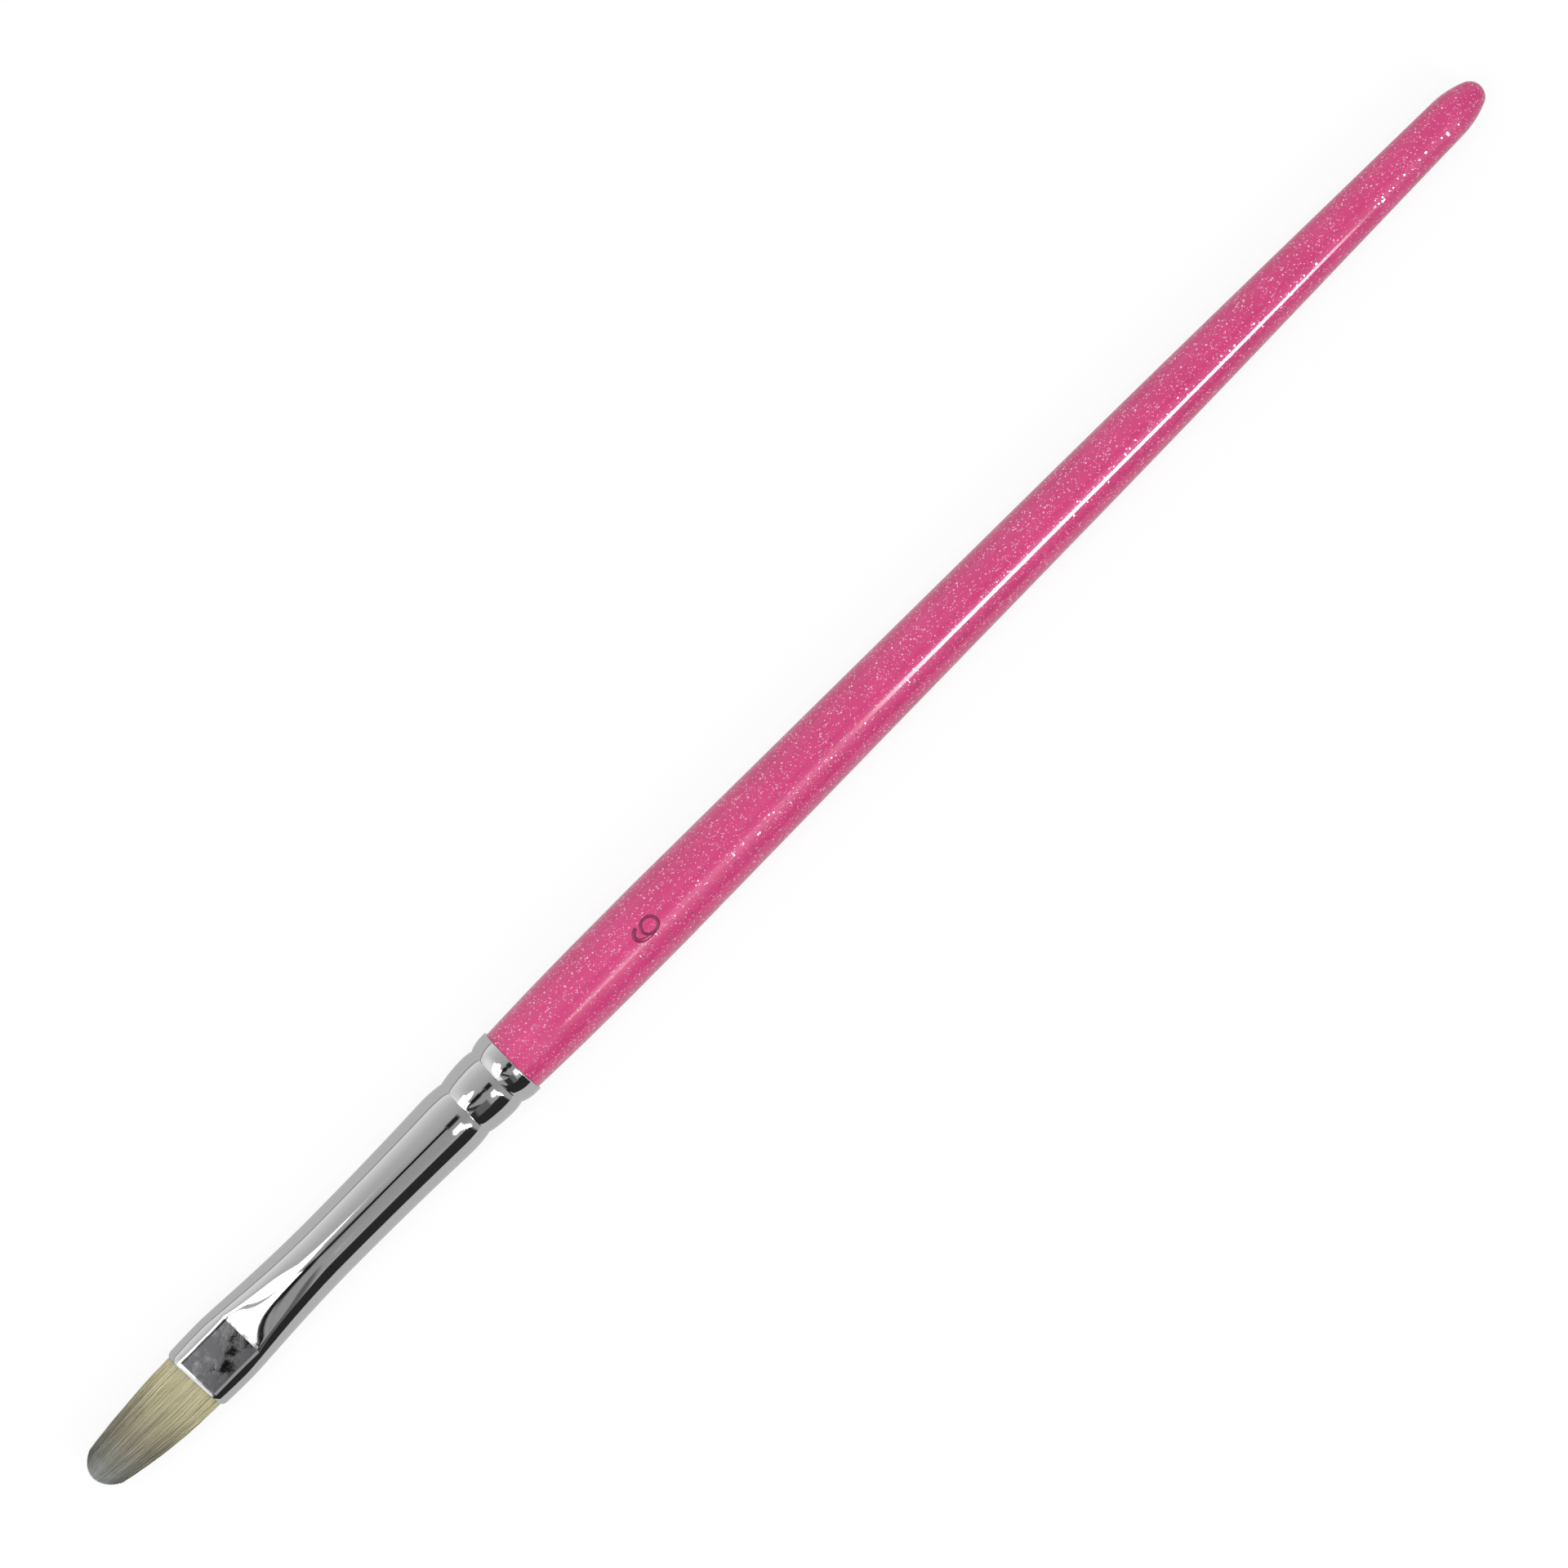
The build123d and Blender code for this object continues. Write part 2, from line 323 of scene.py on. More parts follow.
for name, brightness, mask in panes:
    light = add.mix(mask, light, (brightness,) * 3)
light = add.mix(add("ShaderNodeLightPath").outputs["Is Camera Ray"], light, backdrop)
sky = add("ShaderNodeBackground", Color=light, Strength=1.0)
add("ShaderNodeOutputWorld", Surface=sky.outputs[0])
print("panes:", [name for name, *_ in panes])

# %% [markdown]
# ## Soft lamps and small windows
#
# A large soft lamp hangs over the brush and a weak one stands beside it, so that colours look
# as they are written. Both are hidden from reflections, because they would bleach the metal.
# Three small windows do the opposite: they light nothing matt and are there to be reflected.
# They hang close over the tuft, so their picture fills the pressed ramp of the ferrule and
# tapers off along the tube. A pane of the world is endlessly far away and can't do that.

# %% Hang the lamps
def soft_lamp(name, shape, size, energy, place, turn_degrees=(0, 0, 0)):
    """An area lamp that faces down until it is turned: size in metres, energy in watts."""
    data = bpy.data.lights.new(name, "AREA")
    data.shape, data.energy = shape, energy
    data.size, data.size_y = size
    lamp = bpy.data.objects.new(name, data)
    scene.collection.objects.link(lamp)
    lamp.location = place
    lamp.rotation_euler = [math.radians(value) for value in turn_degrees]
    return lamp


fills = [
    soft_lamp("fill_lamp", "RECTANGLE", (0.5, 0.5), 3.0, (-0.1, 0.0, 0.7), (0, -8, 0)),
    soft_lamp("side_fill", "RECTANGLE", (0.5, 0.3), 0.5, (0.0, -0.5, 0.3), (60, 0, 0)),
]
for lamp in fills:
    lamp.visible_glossy = False
sill, askew = 0.155, (0, 0, 14)
windows = [
    soft_lamp("low_window", "RECTANGLE", (0.085, 0.022), 0.0155, (-0.1397, 0.0042, sill), askew),
    soft_lamp("window", "RECTANGLE", (0.10, 0.07), 0.058, (-0.143, 0.059, sill), askew),
    soft_lamp("window_end", "ELLIPSE", (0.066, 0.050), 0.022, (-0.1065, 0.050, sill)),
]
for lamp in windows:
    lamp.visible_diffuse = False
print("fill lamps:", [lamp.name for lamp in fills], "windows:", [lamp.name for lamp in windows])

# %% [markdown]
# ## A white floor and the camera
#
# The floor is a pale plane. It could be made white with more light, but then the brush would
# bleach too. So the camera sees a floor that glows, and it still takes a faint shadow. Metal
# sees a dimmer and even glow, which gives the ferrule its calm grey edges. The camera looks
# straight down from 0.6 m, with the brush across its view from corner to corner.

# %% The floor and the camera
floor_half = 0.7
floor_points = np.array([(-1, -1, 0), (1, -1, 0), (1, 1, 0), (-1, 1, 0)]) * floor_half
floor = add_piece("floor", floor_points, [(0, 1, 2, 3)])
floor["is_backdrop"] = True
paper, add = new_material("paper_floor")
rays = add("ShaderNodeLightPath").outputs
seen = add.math("ADD", rays["Is Camera Ray"], rays["Is Transmission Ray"])
paper_look = add("ShaderNodeBsdfDiffuse", Color=(0.84, 0.84, 0.84, 1)).outputs[0]
# (the rays that see a glow, its share over the paper, its strength)
for ray, share, strength in ((rays["Is Glossy Ray"], 0.85, 0.55), (seen, 0.86, 1.0)):
    glow = add("ShaderNodeEmission", Color=(1, 1, 1, 1), Strength=strength)
    paper_look = add("ShaderNodeMixShader", i0=add.math("MULTIPLY", ray, share),
                     i1=paper_look, i2=glow.outputs[0]).outputs[0]
add("ShaderNodeOutputMaterial", Surface=paper_look)
floor.data.materials.append(paper)

camera = bpy.data.objects.new("camera", bpy.data.cameras.new("camera"))
scene.collection.objects.link(camera)
scene.camera = camera
camera_height, view_width, view_turn = 0.6, 0.1436, -45.2
camera.data.lens = camera.data.sensor_width * (camera_height - axis_z * MM) / view_width
camera.location = (-0.00033, 0.00021, camera_height)
camera.rotation_euler = (0.0, 0.0, math.radians(view_turn))
print("camera lens", round(camera.data.lens, 1), "mm, view turned by", view_turn, "degrees")

# %% [markdown]
# ## Arcs and rounded corners
#
# Nearly every outline on this brush is a chain of circular arcs, and the corner between two of
# them is never quite sharp. Two small formulas give both. A spline could follow such an
# outline too, but an arc is fixed by its level top and its foot, and those can be measured.

# %% The arc and the rounded corner
def level_arc(distance, top_at, top, foot_at, foot):
    """Height of a circular arc that is level at top_at and passes through its foot.

    Its radius is (run^2 + drop^2) / (2 drop), and its height is top - radius + the square root
    of radius^2 - (distance - top_at)^2. A foot above the top gives the same arc turned over.
    """
    run, drop = foot_at - top_at, top - foot
    radius = (run**2 + drop**2) / (2 * abs(drop))
    reach = np.clip(np.abs(distance - top_at), 0, radius)
    return top - np.sign(drop) * (radius - np.sqrt(radius**2 - reach**2))


def blend_min(first, second, width):
    """The smaller of two heights, with their corner rounded over a band of that width.

    It is min(a, b) - h^2 width / 4, where h = max(0, 1 - |a - b| / width).
    """
    width = np.maximum(width, 1e-6)
    overlap = np.maximum(0, 1 - np.abs(first - second) / width)
    return np.minimum(first, second) - overlap**2 * width / 4


halfway = float(level_arc(1.0, 0.0, 1.0, 2.0, 0.0))
print("an arc that falls 1 mm over 2 mm has fallen", round(1 - halfway, 3), "mm halfway")

# %% [markdown]
# ## The ferrule's form
#
# The ferrule is one thin drawn tube. Flat jaws have pinched its mouth, so the hair spreads
# into an oval, and a roller has pressed two crimps into its rear, which bite on the handle.
# It could be modelled by pushing vertices about, but a radius that is worked out for every
# distance and every angle keeps the metal smooth. In front, the radius is the smaller of an
# oval and the pressed surface, with a rounded ridge where they meet.

# %% Work out the ferrule's pinched front
# Places along the tube, counted from its mouth, and heights over the axis
shoulder, panel_end, waist_at = 4.0, 6.1, 17.7
waist, panel_half, mouth_wide, mouth_high = 3.03, 1.90, 3.55, 2.40
# How the jaws have left the front: draw-in of the mouth, ease of the oval, crown of the panel
# (1/mm), and how far the ramp and its rounded ridge run back
mouth_tuck, oval_ease, panel_crown = 0.08, 0.68, 0.012
ramp_length, ridge_round, ridge_length = 10.5, 0.09, 11.0


def smooth_step(share):
    """0 below 0, 1 above 1, and 3 s^2 - 2 s^3 between."""
    share = np.clip(share, 0, 1)
    return share**2 * (3 - 2 * share)


def pinched_radius(distance, angle):
    """Radius of the tube's front half, from the mouth to the waist.

    The oval has half width a and half height b, which an S-curve takes from the shoulder to
    the waist, and its radius is a b / sqrt((b cos)^2 + (a sin)^2). The pressed surface is a
    circle of growing curvature whose top lies at the height of the panel, then of the ramp.
    """
    tuck = mouth_tuck * np.maximum(0, 1 - distance / shoulder) ** 2
    run = np.maximum(0, (distance - shoulder) / (waist_at - shoulder))
    left = 1 - smooth_step(run**oval_ease)
    a = waist + (mouth_wide - tuck - waist) * left
    b = waist + (mouth_high + tuck - waist) * left
    cos, sin = np.cos(angle), np.abs(np.sin(angle))
    oval = a * b / np.sqrt((b * cos) ** 2 + (a * sin) ** 2)
    ramp = level_arc(distance, waist_at, waist + 0.01, panel_end, panel_half)
    pressed_top = np.where(distance < panel_end, panel_half, ramp)
    rounding = smooth_step((distance - panel_end) / ramp_length)
    curvature = panel_crown + (1 / waist - panel_crown) * rounding
    middle = pressed_top - 1 / curvature
    pressed = middle * sin + np.sqrt(np.maximum(curvature**-2 - (middle * cos) ** 2, 0))
    ridge = ridge_round * (1 - smooth_step((distance - panel_end) / ridge_length))
    return blend_min(oval, pressed, ridge)


side_and_top = np.array([0, math.pi / 2])
print("radius at the panel, side and top:", pinched_radius(np.full(1, 2.0), side_and_top).round(3))

# %% [markdown]
# ## The ferrule's rear
#
# Behind the waist the tube is a chain of arcs: flare, crest, crimp, bead, crimp and rim. Plain
# rings would look machined. A real crimp isn't perfect, so the roller's valleys get a faint
# wave around the tube, and a fine groove where its edge has bitten deepest.

# %% Work out the ferrule's rear and join it to the front
flare_end, crest_at, front_crimp = 32.4, 32.9, 35.05
bead_at, rear_crimp, rim_at = 37.885, 39.1, 40.7
flare_top, crest_top, bead_top, rim_top = waist + 0.272, waist + 0.276, waist + 0.38, waist + 0.57
front_floor, rear_floor = waist + 0.09, waist + 0.24
# What the roller has left in its valleys
valley_round = 0.05
dent_depth, dent_reach, dents_around = 0.022, 0.30, 7
groove_depth, groove_reach = 0.03, 0.07


def turned_radius(distance, angle):
    """Radius of the tube's rear half: flare, crest, crimp, bead, crimp and rim.

    Each valley is the larger of the two arcs that fall into it, with a rounded floor. A wave
    of low dents runs around it, and both dents and groove fade as exp(-(d / reach)^2).
    """
    flare = level_arc(distance, waist_at, waist, flare_end, flare_top)
    crest = level_arc(distance, crest_at, crest_top, front_crimp, front_floor)
    body = np.where(distance < flare_end, flare, crest)
    bead_front = level_arc(distance, bead_at, bead_top, front_crimp, front_floor)
    bead_back = level_arc(distance, bead_at, bead_top, rear_crimp, rear_floor)
    bead = np.where(distance < bead_at, bead_front, bead_back)
    rim = level_arc(distance, rim_at, rim_top, rear_crimp, rear_floor)
    rim = np.where(distance < rim_at, rim, rim_top)
    radius = body
    for crimp, form in ((front_crimp, bead), (rear_crimp, rim)):
        started = np.where(distance < crimp - 1, 0, form)
        radius = -blend_min(-radius, -started, valley_round)
    wave = 0.5 + 0.5 * np.cos(dents_around * angle + 0.6 * distance)
    for crimp in (front_crimp, rear_crimp):
        radius = radius - dent_depth * wave * np.exp(-(((distance - crimp) / dent_reach) ** 2))
        radius = radius - groove_depth * np.exp(-(((distance - crimp) / groove_reach) ** 2))
    return radius


def tube_radius(distance, angle):
    """Radius of the whole tube's outside, front half and rear half."""
    front = pinched_radius(np.minimum(distance, waist_at), angle)
    rear = turned_radius(np.maximum(distance, waist_at), angle)
    return np.where(distance < waist_at, front, rear)


crimp_bead_rim = np.array([front_crimp, bead_at, rim_at])
print("radius at front crimp, bead, rim:", tube_radius(crimp_bead_rim, np.zeros(1)).round(3))

# %% [markdown]
# ## The ferrule's mesh
#
# Rings sit close together where the form turns quickly: at the lip, at the crease behind the
# flat panel and in the crimps. A plain even spacing would need far more of them. The list of
# rings runs back along the outside, turns in at the rim, comes forward along the inside and
# rolls over the lip, so the tube has a real wall. The outside falls a little towards the lip,
# and that narrow slope catches the light as a bright line.

# %% Make the ferrule's mesh
def tube_rings(distance, inset, angle):
    """Rings of points on the tube, its surface drawn in by inset, at each distance.

    The mouth is cut a little askew: the rings there lean by up to 0.05 mm for each mm of side.
    """
    radius = tube_radius(distance[:, None], angle[None, :]) - inset[:, None]
    side = radius * np.cos(angle)
    skew = 0.05 * np.maximum(0, 1 - distance[:, None] / shoulder) ** 2
    return to_metres(distance[:, None] - skew * side, side, radius * np.sin(angle))


wall, around = 0.22, 176
angle = np.linspace(0, 2 * math.pi, around, endpoint=False)
# (from, to, number of rings)
stretches = [
    (0.10, 0.50, 9), (0.50, 5.8, 26), (5.8, 6.6, 18), (6.6, 17.7, 80), (17.7, 32.4, 44),
    (32.4, 36.2, 60), (36.2, 38.4, 22), (38.4, 40.9, 46), (40.9, 41.12, 4),
]
outside = np.concatenate([np.linspace(a, b, n, endpoint=False) for a, b, n in stretches])
inside = np.array([41.2, 40.9, 40.0, 36.0, 30.0, 17.7, 12.0, 8.0, 6.1, 4.0, 2.0, 0.6])
lip_drop, lip_run = 0.10, 0.40
lip_half = (wall - lip_drop) / 2
lip_turn = np.linspace(0, math.pi, 9)
lip = lip_half * (1 - np.sin(lip_turn))
distances = np.concatenate([outside, [41.17, ferrule_length, ferrule_length], inside, lip])
insets = np.concatenate([
    lip_drop * np.maximum(0, 1 - (outside - lip_half) / lip_run) ** 2,
    [0.0, 0.05, wall - 0.02], inside * 0 + wall, wall - lip_half * (1 - np.cos(lip_turn)),
])
ferrule = skin("ferrule_tube", tube_rings(distances, insets, angle), joined=True)
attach(ferrule, "root")
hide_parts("ferrule")
metal_volume = round(volume_mm3(ferrule), 1)
print("ferrule:", len(ferrule.data.polygons), "faces,", metal_volume, "mm3 of metal")

# %% [markdown]
# ## Polished nickel, with the marks of the jaws
#
# The tube is polished plating, so it is a metal with low roughness. Drawing it through a die
# has left fine lines along it, which a noise texture stretched along X gives as a faint bump.
# The pinching jaws have scuffed the flat panels. A mask finds them by place: from behind the
# lip to the crease, high or low on the tube and between the ridges. There a cloudy noise makes
# the metal rougher and bumpier, and it also paints the metal darker as a painted dark reflection,
# most of all near the mouth. A painted dark line, a painted reflection with no groove in the
# metal, lies along one ridge.

# %% The ferrule's material
nickel, add = new_material("polished_nickel")
place = add("ShaderNodeTexCoord").outputs["Object"]
axes = add("ShaderNodeSeparateXYZ", Vector=place).outputs
drawn_scale = add("ShaderNodeMapping", Vector=place, Scale=(60, 9000, 9000))
drawn_lines = add("ShaderNodeTexNoise", Vector=drawn_scale.outputs[0], Scale=1.0, Detail=3.0)
clouds = add("ShaderNodeTexNoise", Vector=place, Scale=620.0, Detail=5.0, Roughness=0.58)
panel_back = (mouth_x + panel_end + 0.1) * MM
behind_lip = add.fade(axes["X"], (mouth_x + 0.26) * MM, (mouth_x + 0.40) * MM)
before_crease = add.fade(axes["X"], panel_back + 0.0004, panel_back)
from_axis = add.math("ABSOLUTE", add.math("SUBTRACT", axes["Z"], axis_z * MM))
aside = add.math("ABSOLUTE", axes["Y"])
on_panel = add.every(before_crease, add.fade(from_axis, 0.0014, 0.0016), behind_lip,
                     add.fade(aside, 0.00214, 0.00202))
# Cloudy scuffs, most near the mouth: rougher, bumpier metal, and the same value paints the panels
# darker, a painted dark reflection
wear_and_painted_dark = add.math("MULTIPLY_ADD", add.fade(axes["X"], mouth_x * MM, panel_back), -0.14,
                add.math("MULTIPLY_ADD", clouds.outputs[0], 2.2, -0.60))
scuff_and_painted_dark = add.math("MULTIPLY", on_panel, add.math("ADD", wear_and_painted_dark, 0.08))
# A painted dark line along one ridge, a painted reflection: it darkens the colour only, with no
# groove in the metal
painted_dark_line = add.every(add.fade(axes["Y"], 0.00178, 0.00190), add.fade(axes["Y"], 0.00204, 0.00196),
                   on_panel)
metal_rough = add("ShaderNodeMapRange", Value=scuff_and_painted_dark, From_Min=0.2, From_Max=0.7,
                  To_Min=0.05, To_Max=0.32)
# Nickel grey, painted darker on the scuffed panels as a painted dark reflection
metal_colour = add.ramp(scuff_and_painted_dark, [
    (0.0, (0.66, 0.66, 0.67)), (0.28, (0.50, 0.50, 0.51)), (0.50, (0.29, 0.29, 0.30)),
    (0.66, (0.16, 0.16, 0.165))])
# The painted dark line laid over the nickel's colour
metal_colour = add.mix(painted_dark_line, metal_colour, (0.07, 0.07, 0.075))
line_bump = add("ShaderNodeBump", Strength=0.02, Distance=0.00002, Height=drawn_lines.outputs[0])
scuff_bump = add("ShaderNodeBump", Strength=0.22, Distance=0.00004, Height=scuff_and_painted_dark,
                 Normal=line_bump.outputs[0])
metal = add("ShaderNodeBsdfPrincipled", Base_Color=metal_colour, Metallic=1.0,
            Roughness=metal_rough.outputs[0], Normal=scuff_bump.outputs[0])
add("ShaderNodeOutputMaterial", Surface=metal.outputs[0])
ferrule.data.materials.append(nickel)
print("material", nickel.name, "has", len(nickel.node_tree.nodes), "nodes")

# %% [markdown]
# ## The handle's form
#
# The handle was turned on a lathe, so a skin of circles is all it needs. What matters is the
# outline: it swells from the neck to a belly where the fingers rest, runs on as a long cone,
# tapers faster towards the tail and ends in a blunt nose. Straight runs and arcs follow each
# other, and the two cones blend over a long stretch, as the lathe tool would leave them.

# %% Work out the handle's outline
belly = (coat_high[1] - coat_low[1]) / 2 / MM
neck = 3.365
belly_from, belly_to = ferrule_length + 12.6, ferrule_length + 19.0
tail_at, tail = handle_end - 4.5, 2.07
long_fall, tail_fall, cone_blend = 0.01150, 0.0207, 0.12
nose, nose_lean = 1.45, math.radians(21.6)
cap_at = handle_end - nose * (1 - math.sin(nose_lean))


def handle_radius(distance):
    """Radius of the lacquered handle: neck arc, belly, two cones, nose arc and round cap.

    A cone is its radius at one end less its fall times the distance from there, and the
    smaller of the two cones counts, with their corner rounded.
    """
    front = level_arc(distance, belly_from, belly, ferrule_length, neck)
    long_cone = belly - long_fall * (distance - belly_to)
    tail_cone = tail + tail_fall * (tail_at - distance)
    shank = blend_min(long_cone, tail_cone, cone_blend)
    side = level_arc(distance, tail_at, tail, cap_at, nose * math.cos(nose_lean))
    from_centre = np.clip(distance - (handle_end - nose), 0, nose)
    cap = np.sqrt(nose**2 - from_centre**2)
    body = np.where(distance < belly_from, front, np.minimum(belly, shank))
    return np.where(distance < tail_at, body, np.where(distance < cap_at, side, cap))


neck_and_tail = np.array([ferrule_length, tail_at])
print("handle radius at neck and tail:", handle_radius(neck_and_tail).round(3))

# %% [markdown]
# ## The handle's mesh
#
# The rings are closer along the curved neck than along the straight cones, and the nose is
# stepped by its angle, so that its facets stay small where it turns in. The first ring lies
# inside the ferrule, whose rim covers it.

# %% Make the handle's mesh
cap_turn = np.linspace(0, math.pi / 2 - nose_lean, 14)[::-1]
handle_at = np.concatenate([
    np.linspace(40.8, belly_to, 60, endpoint=False),
    np.linspace(belly_to, tail_at, 150, endpoint=False),
    np.linspace(tail_at, cap_at, 22, endpoint=False),
    handle_end - nose + nose * np.cos(cap_turn[:-1]),
])
handle_turn = np.linspace(0, 2 * math.pi, 160, endpoint=False)
handle_r = handle_radius(handle_at)[:, None]
handle = skin("lacquered_handle", to_metres(
    handle_at[:, None], handle_r * np.cos(handle_turn), handle_r * np.sin(handle_turn)))
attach(handle, "root")
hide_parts("lacquer_coat")
print("handle:", len(handle.data.polygons), "faces, belly", round(2 * belly, 2), "mm across")

# %% [markdown]
# ## Glitter under a clear coat
#
# The wood was dipped in pink lacquer mixed with glitter and then in clear lacquer. Pictures of
# glitter would blur when you zoom in, so each flake is a cell of a Voronoi texture: random
# numbers of the cell decide whether a flake lies there, how pale it is and which way it leans.

# %% Scatter the flakes
lacquer, add = new_material("glitter_lacquer")
place = add("ShaderNodeTexCoord").outputs["Object"]
normal = add("ShaderNodeNewGeometry").outputs["Normal"]
flake_reach = 0.42


def flakes(size, share):
    """Glitter flakes of that size in metres: a mask that covers that share, a lean, a tone.

    A cell holds a flake if its first random number is below the share, and the flake is the
    part of the cell within flake_reach cells of its middle.
    """
    cells = add("ShaderNodeTexVoronoi", Vector=place, Scale=1 / size, Randomness=1.0).outputs
    numbers = add("ShaderNodeSeparateColor", Color=cells["Color"]).outputs
    mask = add.every(add.math("LESS_THAN", numbers[0], share),
                     add.math("LESS_THAN", cells["Distance"], flake_reach))
    return mask, cells["Color"], numbers[1]


fine_mask, _, fine_tone = flakes(0.00011, 0.11)
large_mask, large_lean, large_tone = flakes(0.00022, 0.14)
print("flakes of 0.11 and 0.22 mm, from", len(lacquer.node_tree.nodes), "nodes")

# %% [markdown]
# ## The lacquer around the flakes
#
# Fine flakes are matt pale dots, because each is too small to flash. The few large ones are
# metal and lean crosswise, so some flash beside the long highlight. Both could lie on top as
# tiny discs, but in the lacquer they stay under its smooth clear coat, as the real ones do.

# %% Mix the lacquer
tilt = add.vector("SUBTRACT", large_lean, (0.5, 0.5, 0.5))
tilt = add.vector("MULTIPLY", tilt, (0.08, 0.26, 0.26))
tilt = add.vector("SCALE", tilt, Scale=large_mask)
leaning = add.vector("NORMALIZE", add.vector("ADD", normal, tilt))
mottle = add("ShaderNodeTexNoise", Vector=place, Scale=260.0, Detail=4.0).outputs[0]
pink = add.ramp(mottle, [(0.3, (0.49, 0.020, 0.136)), (0.7, (0.54, 0.030, 0.162))])
fine_colour = add.ramp(fine_tone, [
    (0.0, (0.70, 0.12, 0.28)), (0.6, (0.85, 0.35, 0.50)), (1.0, (0.95, 0.70, 0.80))])
large_colour = add.ramp(large_tone, [(0.0, (0.90, 0.30, 0.50)), (1.0, (1.0, 0.62, 0.76))])
colour = add.mix(large_mask, add.mix(fine_mask, pink, fine_colour), large_colour)
rough = add("ShaderNodeMapRange", Value=large_mask, From_Min=0.0, From_Max=1.0,
            To_Min=0.45, To_Max=0.10)
shine = add.math("MULTIPLY", large_mask, 0.8)
gloss = add("ShaderNodeBsdfPrincipled", Base_Color=colour, Metallic=shine,
            Roughness=rough.outputs[0], Normal=leaning, Coat_Weight=1.0,
            Coat_Roughness=0.03, Coat_IOR=1.5)
add("ShaderNodeOutputMaterial", Surface=gloss.outputs[0])
handle.data.materials.append(lacquer)
print("material", lacquer.name, "has", len(lacquer.node_tree.nodes), "nodes")

# %% [markdown]
# ## The size number
#
# Brushes of this kind carry their size as a printed number, so that a technician finds the
# right one in the jar. The digit is a flat stroke that lies on the handle: a line is drawn on
# paper first, given a width, and then wrapped round the handle. A stem that is part of a wide
# ellipse runs down into a round bowl, which is all a 6 is.

# %% Print the number on the handle
def wrapped(distance, across, lift):
    """Points on the handle: distance behind the mouth, across as arc length from the top."""
    radius = handle_radius(distance)
    turn = across / radius
    return to_metres(distance, (radius + lift) * np.sin(turn), (radius + lift) * np.cos(turn))


digit_half, stem_stroke, bowl_stroke = 0.76, 0.19, 0.155
stem = np.linspace(0.45, math.pi, 22)
bowl = np.linspace(math.pi, 3 * math.pi, 40)
digit_x = digit_half * np.cos(np.concatenate([stem, bowl]))
digit_y = np.concatenate([0.42 + 1.26 * np.sin(stem), -0.12 + 0.86 * np.sin(bowl)])
heading = np.stack([np.gradient(digit_x), np.gradient(digit_y)], -1)
heading /= np.linalg.norm(heading, axis=1, keepdims=True)
stroke = np.where(np.arange(len(digit_x)) < len(stem), stem_stroke, bowl_stroke)[:, None]
# The stroke's section: two corners sunk in the lacquer and two just above it
sides = np.array([[-1, 0], [1, 0], [1, 1], [-1, 1]])
right = digit_x[:, None] + heading[:, 1:] * stroke * sides[:, 0]
up = digit_y[:, None] - heading[:, :1] * stroke * sides[:, 0]
lift = np.where(sides[:, 1] > 0, 0.004, -0.03) + 0 * right
number_at, number_side = ferrule_length + 17.6, -0.14
number = skin("size_number", wrapped(number_at - up, right + number_side, lift))
if volume_mm3(number) < 0:
    number.data.flip_normals()
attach(number, "root")
print("number is", round(float(np.ptp(digit_y)) + 2 * bowl_stroke, 2), "mm tall")

# %% [markdown]
# ## The ink
#
# The print is a thin plum-coloured ink over the clear coat. It could be a plain colour, but a
# printed stroke is never quite even. So a fine noise makes it a little lighter in places, and
# it shines less than the lacquer.

# %% The ink's material
ink, add = new_material("plum_ink")
place = add("ShaderNodeTexCoord").outputs["Object"]
speckle = add("ShaderNodeTexNoise", Vector=place, Scale=9000.0, Detail=2.0).outputs[0]
ink_colour = add.ramp(speckle, [(0.35, (0.15, 0.004, 0.045)), (0.75, (0.27, 0.012, 0.085))])
print_gloss = add("ShaderNodeBsdfPrincipled", Base_Color=ink_colour, Roughness=0.35,
                  Coat_Weight=0.3, Coat_Roughness=0.08)
add("ShaderNodeOutputMaterial", Surface=print_gloss.outputs[0])
number.data.materials.append(ink)
print("material", ink.name, "has", len(ink.node_tree.nodes), "nodes")

# %% [markdown]
# ## The outline of the tuft
#
# A dressed tuft isn't a solid: it is some thousands of hairs that leave the oval mouth side by
# side, draw together and end on a rounded edge. Before any hair is made, three short formulas
# say how wide and how high the tuft is at each distance in front of the mouth, and how far it
# bends to one side. Every hair and the body below them keep to these.

# %% Where the tuft ends and how it narrows
inset = wall + 0.06
root_wide, root_high = 3.47 - inset, panel_half - inset
tip_wide, tip_high, tip_lean, tip_round = 1.81, 0.40, 0.32, 2.0
body_length = tuft_length - tip_round


def tuft_half_width(distance):
    """Half width of the tuft before its rounding: it narrows with the square of distance."""
    return root_wide - (root_wide - tip_wide) * (distance / tuft_length) ** 2


def tuft_half_height(distance):
    """Half height of the tuft before its rounding: it flattens as distance^1.4."""
    return root_high - (root_high - tip_high) * (distance / tuft_length) ** 1.4


def tuft_lean(distance):
    """How far the tuft has bent towards +Y: it grows as distance^2.5 to tip_lean."""
    return tip_lean * (np.maximum(distance, 0) / tuft_length) ** 2.5


print("tuft:", round(2 * root_wide, 2), "mm wide at the mouth,", 2 * tip_wide, "at the tip")

# %% [markdown]
# ## The tuft, hair by hair
#
# Particle hair could grow the tuft, but then the ends would not follow a shape that we choose.
# So each hair is a thin three-sided tube along a line that we work out: it keeps its share of
# the width and the height of the tuft, which shrink towards the tip. All hairs are one array
# of points. Each point also carries three numbers for the material: how far towards the tip
# it is, a random tone of its hair and its place across the tuft.

# %% The helper that makes a bundle of hairs
hair_rings, hair_corners, hair_root = 9, 3, -1.5


